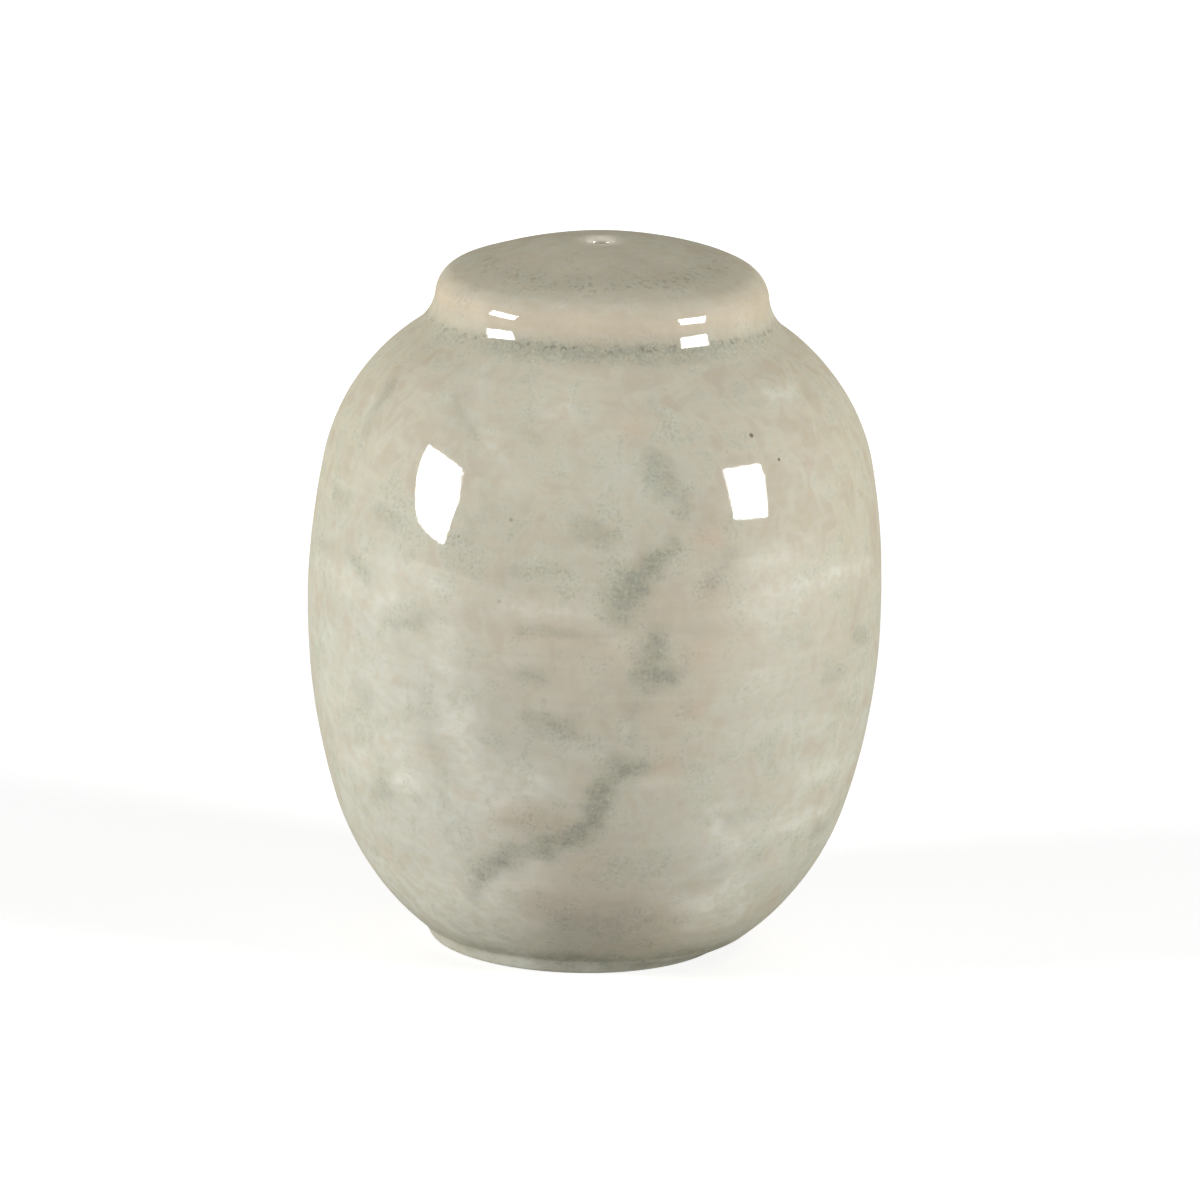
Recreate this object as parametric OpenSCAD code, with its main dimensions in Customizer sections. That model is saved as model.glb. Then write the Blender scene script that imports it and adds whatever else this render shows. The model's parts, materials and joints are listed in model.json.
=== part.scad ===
// Stoneware pepper shaker: a slip-cast, glazed body with one pour hole in its cap,
// filled from below through a hole that a soft moulded stopper closes.
// Millimetres, +Z up. The origin is on the axis, in the plane that the foot stands on.

/* [Body] */
// Overall height, from the table to the top of the cap
total_h = 75; // [68:0.5:84]
// Diameter at the widest part of the belly
belly_d = 60; // [54:0.5:66]
// Height of the widest part above the table
belly_h = 36.3; // [33:0.1:40]
// Radius of the flank above the belly
upper_flank_r = 83; // [65:1:110]
// Radius of the shoulder
shoulder_r = 21.7; // [19:0.1:25]
// Depth of the shoulder's centre below the top of the cap
shoulder_drop = 28; // [26:0.1:31]
// Radius of the flank below the belly
lower_flank_r = 71.5; // [58:0.5:90]
// Depth below the table at which the egg's lower tip would be
foot_cut = 4.5; // [3:0.1:6]
// Thickness of the cast wall
wall_t = 3.6; // [2.5:0.1:4.5]

/* [Cap] */
// Diameter of the cap
cap_d = 34.8; // [32:0.2:38]
// Height of the cap above its widest part
cap_rise = 6.4; // [5.6:0.1:7.5]
// Radius of the cap's rounded edge
cap_edge_r = 3.4; // [2.8:0.1:4.2]
// Radius of the hollow between the cap and the shoulder
neck_r = 6; // [4.5:0.1:7.5]
// Radius of the corner inside the cap, between its ceiling and its wall
ceiling_corner_r = 1.5; // [0.5:0.1:3]

/* [Pour hole] */
// Diameter of the pour hole
pour_d = 2.4; // [1.6:0.1:4]
// Radius of the hole's soft outer lip
pour_lip_r = 0.8; // [0.3:0.1:1.2]
// Radius of the hole's inner edge
pour_inner_r = 0.4; // [0.2:0.1:0.8]

/* [Foot and base] */
// Diameter of the foot where it meets the table
foot_d = 32.2; // [30:0.2:34]
// Height of the foot's slanted side
foot_h = 1.5; // [0.8:0.1:2.2]
// Radius of the foot's edges
foot_edge_r = 0.4; // [0.2:0.1:0.6]
// Radius of the corner inside the recessed underside
recess_corner_r = 1; // [0.5:0.1:1.5]
// Thickness of the base
base_t = 4; // [3:0.1:5]
// Radius of the corner between the chamber's floor and its wall
floor_corner_r = 3; // [1.5:0.1:4]

/* [Filling hole] */
// Diameter of the filling hole
fill_d = 16; // [13:0.2:18]
// Radius of the filling hole's edges
fill_edge_r = 0.6; // [0.3:0.1:1]

/* [Stopper] */
// Gap between a sealing rib and the filling hole, on the radius
rib_gap = 0.05; // [0.02:0.01:0.1]
// Height of a sealing rib above the plug's side
rib_h = 0.5; // [0.3:0.05:0.8]
// Number of sealing ribs
rib_count = 2; // [1:1:2]
// Reach of the plug beyond the chamber's floor
plug_reach = 2.2; // [1.5:0.1:4]
// Thickness of the plug's hollow wall
plug_wall = 1.7; // [1.2:0.1:2.5]
// Width of the flange around the filling hole
flange_w = 2.4; // [1.6:0.1:3]
// Thickness of the flange
flange_t = 1.6; // [1.2:0.1:2.2]
// Height of the flange above the table
flange_clear = 1.8; // [1:0.1:2.5]
// Radius of the flange's rim
flange_edge_r = 0.6; // [0.3:0.05:0.9]
// Width of the lifting tab
tab_w = 7; // [5:0.5:9]
// Reach of the lifting tab beyond the flange
tab_reach = 1; // [0.6:0.1:1.4]
// Gap between the tab's end and the corner inside the recess
tab_gap = 0.3; // [0.2:0.05:0.8]

/* [Hidden] */
$fn = 96;
// Largest gap between an arc and the chords that draw it
chord_tol = 0.008;

glaze_colour = "#c4beac";
silicone_colour = "#e8e6dc";

// Radius at the tip of a two-arc oval with half-width a, half-height b and flank radius side_r
function tip_radius(a, b, side_r) = (a*a + b*b - 2*a*side_r) / (2*(b - side_r));
// Direction from one point to another, in degrees
function bearing(from, to) = atan2(to.y - from.y, to.x - from.x);
// The point at radius r from c, in the direction turn
function polar(c, r, turn) = c + r*[cos(turn), sin(turn)];
// Number of chords that keep an arc within the tolerance
function chord_count(r, sweep) = max(1, ceil(abs(sweep) / (2*acos(1 - min(1, chord_tol/r)))));
// Points of an arc, both ends included
function arc(c, r, from, to) =
    let (n = chord_count(r, to - from))
    [for (i = [0:n]) polar(c, r, from + (to - from)*i/n)];
// How far a circle of radius r lies below its top, at distance x from its axis
function drop(x, r) = r - sqrt(r*r - x*x);
// Where two circles meet, to the right of the way from the first centre to the second
function right_crossing(c1, r1, c2, r2) =
    let (
        gap = norm(c2 - c1),
        along = (gap*gap + r1*r1 - r2*r2) / (2*gap),
        ahead = (c2 - c1)/gap,
        aside = [ahead.y, -ahead.x]
    )
    c1 + along*ahead + sqrt(r1*r1 - along*along)*aside;
// Centre of a round between a level line at height z and a circle that it touches from inside
function corner_centre(c, r, z, corner_r) =
    [c.x + sqrt(pow(r - corner_r, 2) - pow(z + corner_r - c.y, 2)), z + corner_r];

// The egg: a flank arc and a shoulder arc above the belly, a flank arc and a tip arc below it
belly_r = belly_d/2;
lower_h = belly_h + foot_cut;
heel_r = tip_radius(belly_r, lower_h, lower_flank_r);
upper_flank_c = [belly_r - upper_flank_r, belly_h];
lower_flank_c = [belly_r - lower_flank_r, belly_h];
shoulder_z = total_h - shoulder_drop;
shoulder_c = [
    upper_flank_c.x + sqrt(pow(upper_flank_r - shoulder_r, 2) - pow(shoulder_z - belly_h, 2)),
    shoulder_z
];
heel_c = [0, belly_h - lower_h + heel_r];
upper_turn = bearing(upper_flank_c, shoulder_c);
lower_turn = bearing(lower_flank_c, heel_c);

// The cap: a dome arc and an edge arc, with a hollow that runs out into the shoulder.
// The pour hole takes the dome's tip away, so the dome's arc rises to lip_drop above the finished height
cap_r = cap_d/2;
pour_r = pour_d/2;
lip_x = pour_r + pour_lip_r;
dome_r = tip_radius(cap_r, cap_rise, cap_edge_r);
lip_drop = drop(lip_x, dome_r - pour_lip_r);
dome_c = [0, total_h + lip_drop - dome_r];
cap_edge_c = [cap_r - cap_edge_r, total_h + lip_drop - cap_rise];
neck_c = right_crossing(shoulder_c, shoulder_r + neck_r, cap_edge_c, cap_edge_r + neck_r);
shoulder_turn = bearing(shoulder_c, neck_c);
ceiling_c = right_crossing(
    neck_c, neck_r + wall_t + ceiling_corner_r,
    dome_c, dome_r - wall_t - ceiling_corner_r
);

// The pour hole's lips, one on the dome and one on the ceiling below it
lip_c = [lip_x, total_h - pour_lip_r];
lip_turn = bearing(dome_c, lip_c);
inner_lip_x = pour_r + pour_inner_r;
inner_lip_dome_r = dome_r - wall_t + pour_inner_r;
inner_lip_c = [inner_lip_x, dome_c.y + inner_lip_dome_r - drop(inner_lip_x, inner_lip_dome_r)];
inner_lip_turn = bearing(dome_c, inner_lip_c);

// The foot and the base, with a recess that clears the stopper's flange and tab
foot_r = foot_d/2;
fill_r = fill_d/2;
flange_r = fill_r + flange_w;
recess_r = flange_r + tab_reach + tab_gap + recess_corner_r;
recess_h = flange_clear + flange_t;
foot_top = [sqrt(heel_r*heel_r - pow(foot_h - heel_c.y, 2)), foot_h];
heel_turn = bearing(heel_c, foot_top);
foot_lean = bearing([foot_r, 0], foot_top);
foot_edge_c = [foot_r - foot_edge_r*tan(foot_lean/2), foot_edge_r];
floor_z = recess_h + base_t;
floor_corner_c = corner_centre(heel_c, heel_r - wall_t, floor_z, floor_corner_r);
floor_turn = bearing(heel_c, floor_corner_c);

// The stopper
rib_r = fill_r - rib_gap;
plug_r = rib_r - rib_h;
plug_bore_r = plug_r - plug_wall;
plug_top = floor_z + plug_reach;
plug_lead = plug_wall/2;
rib_z = [for (i = [1:rib_count]) recess_h + base_t*i/(rib_count + 1)];

// The wall's outline from the cap's dome to the heel, moved inwards by inset, where an arc
// of radius edge_r about edge_c leads from the dome to the neck
function wall_outline(inset, edge_c, edge_r, first_turn, last_turn) = concat(
    arc(dome_c, dome_r - inset, first_turn, bearing(dome_c, edge_c)),
    arc(edge_c, edge_r, bearing(dome_c, edge_c), bearing(edge_c, neck_c)),
    arc(neck_c, neck_r + inset, 180 + bearing(edge_c, neck_c), 180 + shoulder_turn),
    arc(shoulder_c, shoulder_r - inset, shoulder_turn, upper_turn),
    arc(upper_flank_c, upper_flank_r - inset, upper_turn, 0),
    arc(lower_flank_c, lower_flank_r - inset, 0, lower_turn),
    arc(heel_c, heel_r - inset, lower_turn, last_turn)
);
function reversed(list) = [for (i = [len(list) - 1:-1:0]) list[i]];

// Down the foot's side, across the ring that it stands on and up into the recess
function foot_outline() = concat(
    arc(foot_edge_c, foot_edge_r, foot_lean - 90, -90),
    arc([recess_r + foot_edge_r, foot_edge_r], foot_edge_r, 270, 180),
    arc([recess_r - recess_corner_r, recess_h - recess_corner_r], recess_corner_r, 0, 90)
);
// Through the base, from the recess to the chamber's floor
function filling_hole_outline() = concat(
    arc([fill_r + fill_edge_r, recess_h + fill_edge_r], fill_edge_r, 270, 180),
    arc([fill_r + fill_edge_r, floor_z - fill_edge_r], fill_edge_r, 180, 90)
);
// Up the pour hole, from the ceiling to the dome
function pour_hole_outline() = concat(
    arc(inner_lip_c, pour_inner_r, 180 + inner_lip_turn, 180),
    arc(lip_c, pour_lip_r, 180, lip_turn)
);

module stoneware_body() {
    section = concat(
        wall_outline(0, cap_edge_c, cap_edge_r, lip_turn, heel_turn),
        foot_outline(),
        filling_hole_outline(),
        arc(floor_corner_c, floor_corner_r, -90, floor_turn),
        reversed(wall_outline(wall_t, ceiling_c, ceiling_corner_r, inner_lip_turn, floor_turn)),
        pour_hole_outline()
    );
    color(glaze_colour) rotate_extrude() polygon(section);
}

// Half-round ring that stands out of the plug's side at height z
module sealing_rib(z) {
    rotate_extrude() translate([rib_r - rib_h, z]) circle(r = rib_h);
}

// Hollow plug, open into the chamber, on a flange that lies against the base
module plug_and_flange() {
    section = concat(
        [[0, flange_clear]],
        arc([flange_r - flange_edge_r, flange_clear + flange_edge_r], flange_edge_r, -90, 0),
        [[flange_r, recess_h], [plug_r, recess_h]],
        arc([plug_r - plug_lead, plug_top - plug_lead], plug_lead, 0, 180),
        arc([plug_bore_r - plug_lead, recess_h + plug_lead], plug_lead, 0, -90),
        [[0, recess_h]]
    );
    rotate_extrude() polygon(section);
}

// Tongue at the flange's edge, for a fingernail
module lifting_tab() {
    tab_t = flange_t - flange_edge_r;
    translate([0, 0, flange_clear + flange_edge_r]) linear_extrude(tab_t) intersection() {
        circle(r = flange_r + tab_reach);
        translate([fill_r, -tab_w/2]) square([flange_w + tab_reach, tab_w]);
    }
}

module silicone_stopper() {
    color(silicone_colour) union() {
        plug_and_flange();
        for (z = rib_z) sealing_rib(z);
        lifting_tab();
    }
}

stoneware_body();
silicone_stopper();
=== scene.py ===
"""Stoneware pepper shaker: its glazed body, its silicone stopper and a plain studio.

Lengths are metres. A turn is an angle about the axis, from the front, -Y, towards +X.
"""
import json
import math
from types import SimpleNamespace

import bpy
import numpy as np
from mathutils import Matrix, Vector


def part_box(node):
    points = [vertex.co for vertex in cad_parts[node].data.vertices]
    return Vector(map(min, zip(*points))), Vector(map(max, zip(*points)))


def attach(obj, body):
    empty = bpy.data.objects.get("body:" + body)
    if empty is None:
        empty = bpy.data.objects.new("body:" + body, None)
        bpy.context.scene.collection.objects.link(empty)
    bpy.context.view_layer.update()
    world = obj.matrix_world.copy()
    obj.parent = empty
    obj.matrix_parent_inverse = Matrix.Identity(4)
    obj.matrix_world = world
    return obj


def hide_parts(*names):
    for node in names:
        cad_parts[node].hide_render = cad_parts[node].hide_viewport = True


bl_info = {
    "name": "Stoneware Pepper Shaker",
    "version": (1, 0, 0),
    "blender": (4, 5, 0),
    "location": "3D View > Sidebar > Shaker",
    "description": "Makes a glazed stoneware pepper shaker, its stopper and a studio to show it in",
    "category": "Add Mesh",
}

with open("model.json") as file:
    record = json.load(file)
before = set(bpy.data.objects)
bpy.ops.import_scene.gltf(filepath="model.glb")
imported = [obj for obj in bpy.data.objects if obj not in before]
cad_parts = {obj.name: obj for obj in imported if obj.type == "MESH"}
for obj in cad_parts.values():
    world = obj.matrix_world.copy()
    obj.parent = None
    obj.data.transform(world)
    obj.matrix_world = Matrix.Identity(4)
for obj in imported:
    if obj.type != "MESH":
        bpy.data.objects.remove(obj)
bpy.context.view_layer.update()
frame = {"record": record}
BODY_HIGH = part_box("stoneware_body")[1]
STOPPER_LOW, STOPPER_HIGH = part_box("silicone_stopper")
POUR_HOLE = next(mount for mount in frame["record"]["mounts"] if mount["name"] == "pour_hole")

MM = 0.001
FULL_TURN = 2 * math.pi
QUARTER = math.pi / 2

# Steps between neighbouring points of a section, the share of a step that tight arcs take,
# and the closest that two points may lie
FINE_STEP = 0.15 * MM
LIP_STEP = 0.7 * FINE_STEP
CORNER_STEP = 2 * FINE_STEP
WALL_STEP = 0.62 * MM
FLAT_STEP = 2 * WALL_STEP
INSIDE_STEP = 2.5 * MM
TIGHT_SHARE = 0.6
SAME_POINT = 0.001 * MM
BODY_COLUMNS = 320
STOPPER_COLUMNS = 240

# Stretches of the body's section that are the glazed outside, and those where the clay is bare
OUTSIDE = ("dome", "cap_edge", "neck", "shoulder", "flank", "heel")
BARE_CLAY = ("ring", "recess", "inside", "pour")

# The lifting tab: how far it stays from the rim's arc and from the flange's upper face, and the
# turn, in radians, over which a side runs out
TAB_INSET = 0.1 * MM
TAB_SIDE = 0.05

# Dents and swellings of the hand-finished wall: rise in mm, turn in degrees, height, half width and
# half height in mm, and sideways lean
DENTS = (
    (-0.55, -36, 54, 10, 4.75, -1.2),
    (0.27, -31, 46, 4.3, 3, 0.8),
    (0.22, 34, 48.3, 7.5, 3, 0),
    (-0.06, 23.5, 53, 4.2, 3, -1.2),
    (-0.1, -35.5, 69, 3, 3.5, 0),
    (-0.1, 35, 69, 3, 3.5, 0),
)

# Waves of the wall, and of the glaze's marks along the wall and up it: size in mm, waves round the
# body, radians a mm of height and start
HAND_WAVES = (
    (0.030, 2, 0.06, 0.4),
    (0.020, 5, 0.17, 1.9),
    (0.010, 9, -0.31, 0.7),
    (0.010, 3, 0.55, 2.6),
    (0.006, 14, 0.42, 4.1),
    (0.004, 4, -1.30, 5.2),
)
STRAY_ALONG = ((0.25, 7, 0.8, 0), (0.25, 19, -1.7, 1), (0.15, 43, 3, 0))
STRAY_UP = ((0.2, 11, 0.5, 2), (0.2, 27, 1.9, 0), (0.1, 61, -2, 0))

# Rings of the shaping rib: depth, pitch in mm, drift once and twice a turn, and the radians a mm
# with which they come and go
RING_DEPTH = 0.002 * MM
RING_PITCH = 3.1
RING_DRIFT = (0.8, 0.5)
RING_COMING = 0.21

# Heights over which the unevenness fades, above the foot and below the cap
FOOT_FADE = (3 * MM, 8 * MM)
SHOULDER_FADE = (58 * MM, 66 * MM)

# Shares of the cap's radius from which its sink and its lean fade, and how many times the foot's
# height the crease's rise reaches
SINK_FROM = 0.5
LEAN_FROM = 0.75
CREASE_REACH = 4

# Marks of the glaze: turn in degrees and height in mm of one end and of the other,
# half width in mm and strength
VEINS = (
    (15.5, 49.2, 11.3, 47.1, 0.9, 0.5),
    (11.3, 47.1, 7.8, 45, 1.0, 0.7),
    (7.5, 44.8, 6, 44.2, 1.3, 0.75),
    (6, 44.2, 3, 43.8, 1.0, 0.4),
    (6, 43.8, 5, 42, 1.0, 0.4),
    (12.3, 40, 11.8, 36.5, 1.0, 0.7),
    (10, 35.8, 14.5, 35.8, 1.3, 0.8),
    (8.5, 34, 8.5, 29, 0.9, 0.2),
    (10, 25.8, 5.8, 25.3, 0.9, 0.7),
    (5.8, 25.3, 2.8, 23.4, 0.9, 0.75),
    (2.8, 23.4, 0.6, 20.5, 0.9, 0.75),
    (0.6, 20.5, -2.5, 18, 0.9, 0.65),
    (-2.5, 18, -9, 16.3, 1.1, 0.75),
    (-9, 16.3, -17, 16, 0.8, 0.5),
    (-17, 16, -21, 14.3, 0.8, 0.55),
    (-21, 14.3, -25, 12, 0.9, 0.65),
    (-25, 12, -30, 8.6, 0.8, 0.25),
    (-16, 19.3, -8, 19.5, 1.2, 0.2),
    (-12, 30.6, -4, 30, 1.2, 0.45),
    (-13.5, 35.6, -10.5, 35.4, 1.1, 0.4),
    (-36, 32, -34, 24.5, 1.2, 0.2),
    (-20, 33, -19, 30, 1.4, 0.15),
    (13, 57.5, 19, 53, 1.2, 0.35),
    (14, 63, 17, 60.5, 1.0, 0.2),
    (-4, 51, 2, 50, 1.3, 0.25),
    (-17, 46, -6, 46.6, 1.2, 0.25),
    (-18, 60, -15, 59, 1.2, 0.25),
    (-28, 49, -22, 52, 2.0, 0.2),
    (-69, 49.4, -64, 49.2, 1.3, 0.3),
    (-52, 49.6, -47, 49.2, 1.4, 0.3),
    (-79, 43.5, -70, 43.3, 1.3, 0.2),
    (-60, 44.8, -52, 42.6, 0.9, 0.3),
    (-43, 38.6, -36.5, 39.6, 0.9, 0.35),
    (-54, 30.4, -51, 30, 1.0, 0.2),
    (-52, 19.3, -48.5, 19.8, 1.1, 0.3),
    (-15, 40.3, -3, 40, 0.6, 0.35),
    (65, 36.2, 70, 35.6, 1.3, 0.35),
    (53, 32.6, 58, 32.8, 1.0, 0.25),
    (42, 38.3, 46, 37.8, 1.2, 0.2),
    (62, 14.7, 68, 14.4, 1.2, 0.3),
    (20.5, 40.5, 24, 45.5, 1.0, 0.15),
    (24, 45.5, 28, 48.2, 1.2, 0.25),
    (26, 13, 33, 13.6, 1.6, 0.2),
    (32, 19.3, 35, 19.7, 0.9, 0.35),
    (-65.5, 61, -64, 56.5, 1.2, 0.3),
    (-40, 62, -30, 59, 1.0, 0.25),
    (11, 56.5, 14, 55, 1.2, 0.3),
    (1, 40, 1, 33, 1.6, 0.15),
    # a broad faint darkening down the middle of the front, in the veins' tone, not a vein
    (0, 47, 0, 57, 4, 0.08),
    (-6, 28.5, 4, 28, 2.5, 0.1),
)
BLUSHES = (
    (22, 50, 25, 50, 1.0, 0.9),
    (22.5, 43.2, 24, 44, 1.0, 0.7),
    (21.5, 37.5, 22.5, 38.5, 1.1, 0.6),
    (19.5, 31.5, 20.5, 31.8, 0.9, 0.7),
    (13.5, 32, 14.5, 32, 0.8, 0.5),
    (13.5, 25.6, 15.5, 26.2, 1.2, 0.8),
    (7.5, 60.3, 9.5, 60.6, 0.9, 0.7),
    (2.5, 38.5, 6, 37.5, 1.2, 0.45),
    (-17, 19.6, -3, 19, 1.5, 0.6),
    (-3, 14.5, 4, 15.5, 0.9, 0.4),
    (-38, 25.5, -33, 25.4, 0.6, 0.4),
    (11, 42, 13, 44, 1.2, 0.35),
    (-16, 40, -1, 39.4, 0.7, 0.5),
    (-8, 10, 16, 7, 4, 0.5),
    (-10, 35, 20, 40, 8, 0.25),
)
VEILS = (
    (-20, 12.8, -12, 13.2, 1.4, 0.95),
    (-18, 20, -11, 24, 1.4, 0.5),
    (5.5, 39, 8, 33.5, 0.8, 0.4),
    (27.5, 20, 29, 18, 0.9, 0.4),
    (46, 17.5, 64, 17, 1.2, 0.4),
    (16, 10.3, 40, 10.2, 0.9, 0.45),
    (-29, 8.2, -20, 11.4, 0.9, 0.7),
    (-10, 15, -3, 16.2, 0.7, 0.4),
    (-17, 42.4, -6, 42.2, 0.9, 0.4),
    (-2, 42.2, 6.5, 38.2, 0.8, 0.5),
    (-34, 43.5, -29, 42.5, 1.2, 0.35),
    (-30.5, 39, -29.5, 34.5, 1.2, 0.35),
    (-27, 30, -25, 24.5, 1.0, 0.5),
    (-44, 20.5, -41, 22.5, 1.3, 0.6),
    (-75, 41.8, -45, 41.2, 1.2, 0.3),
    (-66, 30, -52, 33, 3, 0.2),
    (-58, 21, -42, 26, 3.2, 0.18),
    (-66, 9, -34, 8.5, 3, 0.4),
    (-62, 5.5, -16, 5, 2, 0.3),
    (-19, 23, -17, 9, 2.2, 0.45),
    (-30, 30, -26, 24, 2, 0.25),
    (32, 46.4, 42, 46.6, 1.6, 0.25),
    (36, 43.6, 72, 43.2, 0.9, 0.4),
    (30, 42.3, 44, 41.8, 0.9, 0.3),
    (35, 35, 38, 40, 2.0, 0.2),
    (33, 19, 35.5, 12, 1.0, 0.5),
    (24, 9.6, 31, 8.6, 1.2, 0.6),
    (28, 7, 44, 7.2, 1.3, 0.5),
    (50, 22, 72, 22.4, 1.0, 0.3),
    (11, 24, 15, 24.2, 0.8, 0.5),
    (-14, 61, -9, 62.5, 1.4, 0.25),
    (-38, 64.3, -25, 58.3, 1.0, 0.2),
    (-25, 58.3, -18, 55, 1.0, 0.2),
    (-68, 59, -64, 58, 1.0, 0.3),
    (50, 62, 62, 62.3, 0.5, 0.4),
)
CELADONS = (
    (-66, 34, -30, 30, 9, 0.7),
    (-62, 16, -30, 19, 7, 0.7),
    (-60, 5, -20, 4, 3, 0.7),
    (-70, 46, -48, 45, 4, 0.3),
    (35, 30, 75, 27, 8, 0.45),
    (28, 15, 70, 12, 5, 0.5),
    (4, 57, 16, 55, 3, 0.4),
    (-26, 31, -10, 24, 4.5, 0.4),
    (-60, 2.5, 60, 2.5, 3.5, 0.4),
)
# Darker strokes low on the wall: glaze that gathers in the foot's crease, and painted shade in that
# crease and on the low belly towards the right, where little light falls
POOLS_AND_SHADE = (
    (-50, 1.7, -12, 1.9, 0.6, 0.4),
    (-12, 1.8, 55, 1.8, 0.8, 0.6),
    (-3, 7, 14, 7, 2.8, 0.45),
    (5, 14.5, 18, 14.5, 1.5, 0.15),
    (-6, 1.4, 8, 1.4, 0.9, 0.35),
    (8, 0.8, 65, 0.8, 1.2, 0.08),
)
MARKS = {"vein": VEINS, "blush": BLUSHES, "veil": VEILS, "celadon": CELADONS}

# From a stroke to its copy on the back, and a halo's strength and half width as shares of its
# stroke's
BACK_TURN = math.radians(174)
HALO_SHARE = 0.3
HALO_WIDTH = 2.2

# Iron specks: turn in degrees, height in mm, half size in mm and strength, and the share of its
# size over which a speck is full
SPECKS = (
    (38.3, 59.3, 0.35, 0.85),
    (43.8, 56.7, 0.25, 0.85),
    (-17.5, 51.5, 0.28, 0.4),
    (-19, 43.2, 0.3, 0.25),
    (-29, 49, 0.2, 0.4),
)
SPECK_CORE = 0.4

# A growth is a value behind, what is added to it in front, and the power with which that comes.
# The groove under the cap: its height in mm as a growth, then the glaze and the beads that gather
# there, in mm above it, half width in mm and growth. The glaze's last row is painted shade under
# the cap's edge.
GROOVE_HEIGHT = (65.7, 1.0, 2)
GROOVE_GLAZE_AND_SHADE = (
    (0.0, 1.05, (0.1, 0.65, 2)),
    (0.65, 0.45, (0.0, 0.5, 4)),
    # painted shade under the cap's edge
    (1.7, 0.75, (0.0, 0.32, 6)),
)
GROOVE_BEADS = (0.6, 0.35, (0.3, 0.5, 2))

# The ring of beads on the dome: radius and half width in mm and growth, then the growth of the
# glaze that gathers in it and the beads' share
DOME_RING = (12.4, 2.0, (0.3, 0.7, 1))
DOME_RING_GLAZE = (0.0, 0.3, 2)
DOME_RING_BEADS = 0.32

# The darker flat top, partly thicker glaze and partly painted shade where less light falls from
# above: the heights over which it comes, its slant and its growth
DOME_FADE = (70.3 * MM, 73.2 * MM)
DOME_SLANT = 0.5 * MM
DOME_GROWTH = (0.15, 0.85, 3)

# The cream rim of the cap: height and half width in mm. The pale pour lip: the radii over which it
# fades and its shares of veil and cream
RIM_BAND = (69.6, 1.4)
LIP_FADE = (2.1 * MM, 2.9 * MM)
LIP_VEIL = 0.9
LIP_CREAM = 0.35

# The foot's shares of veil and celadon, and the milky edge of a vein: its share, the vein's
# strength there and the half width in that strength
FOOT_VEIL = 0.25
FOOT_CELADON = 0.8
EDGE_VEIL = 0.25
EDGE_BAND = (0.2, 0.08)

# Noises of the mottle group: waves a mm across and up, detail and distortion of each, the roughness
# of all of them, and the range that most of their values lie in
MOTTLE = {
    "Cloud": (0.16, 0.24, 2.5, 1.0),
    "Streak": (0.05, 0.9, 3, 0.3),
    "Fine": (0.8, 1.1, 1, 0.4),
    "Patch": (0.36, 0.28, 1.5, 0.7),
    "Grain": (2.9, 2.9, 1, 0.0),
    "Bead": (1.6, 1.6, 1, 0.0),
}
NOISE_ROUGHNESS = 0.6
MIDDLE_NOISE = (0.3, 0.7)

# The glaze's use of the noises: what each effect is drawn from, from which range and to which, how
# far a noise frays each mask, how far it shades the tone, and the tints that the tone leans to
EFFECTS = {
    "grey": ("Cloud", 0.35, 0.68, 0.0, 0.7),
    "moss": ("Patch", 0.48, 0.66, 0.0, 0.55),
    "rust": ("Patch", 0.46, 0.3, 0.0, 0.38),
    "dots": ("Grain", 0.5, 0.68, 0.0, 1.0),
    "glints": ("Grain", 0.4, 0.26, 0.0, 1.0),
    "beads": ("Bead", 0.55, 0.68, 0.0, 1.0),
}
FRAY = {
    "celadon": ("Cloud", 0.3),
    "veil": ("Fine", 0.3),
    "blush": ("Fine", 0.3),
    "vein": ("Fine", 0.18),
    "pool": ("Fine", 0.2),
    "cream": ("Fine", 0.2),
}
SHADING = {"Patch": 0.1, "Streak": 0.02, "Cloud": 0.05}
WARM_TINT = (0.996, 0.983, 0.96)
COOL_TINT = (1.004, 1.017, 1.04)

# Shares of dots and of glints, on plain glaze and where it has gathered or has painted shade
DOT_SHARES = (0.02, 0.24)
GLINT_SHARES = (0.04, 0.26)

# Finishes: how the gloss fades from full view to edge on, the clay's share of it, the roughness of
# glaze and clay and the depth of pits, then the silicone's shade where it clouds, its clouding and
# its roughness
GLOSS_FADE = (0.25, 0.55, 0.5, 0.0)
CLAY_GLOSS = 0.3
GLAZE_ROUGH, CLAY_ROUGH = 0.045, 0.7
PIT_DEPTH = 0.0024 * MM
SILICONE_SHADE = 0.88
SILICONE_CLOUDING = 0.6
SILICONE_ROUGH = (0.4, 0.52)

# Softboxes: turn and elevation of the middle, angular width, angular height and lean, in degrees,
# share of the lamps' power, and whether the glaze mirrors it
SOFTBOXES = {
    "softbox_left": (-73, 18, 17.5, 13, 0, 0.97, True),
    "softbox_right": (67.7, 20, 17, 18, -12, 1.0, True),
    "fill_left": (-42, 5, 40, 10, 0, 0.13, False),
    "fill_back": (180, 6, 36, 20, 0, 0.45, False),
}

# Width of the camera's sensor
SENSOR_MM = 36

# The floor: half its side, how far it lies below the foot, its grey, and the distances over which
# its own brightness rises to white
FLOOR_HALF = 3.0
FLOOR_DROP = 0.01 * MM
FLOOR_GREY = 0.5
GLOW_RISE = (0.08, 0.4)
WHITE = (1.0, 1.0, 1.0, 1.0)

# The Mix node's sockets for colours: its factor, its two colours and its result
MIX_FACTOR, MIX_LOW, MIX_HIGH = 0, 6, 7
MIX_RESULT = 2


def length(name, default, description):
    """A length property in metres."""
    return bpy.props.FloatProperty(
        name=name, default=default, description=description, unit="LENGTH", precision=5)


def angle(name, degrees, description):
    """An angle property, whose default is given in degrees."""
    return bpy.props.FloatProperty(
        name=name, default=math.radians(degrees), description=description, subtype="ANGLE")


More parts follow.
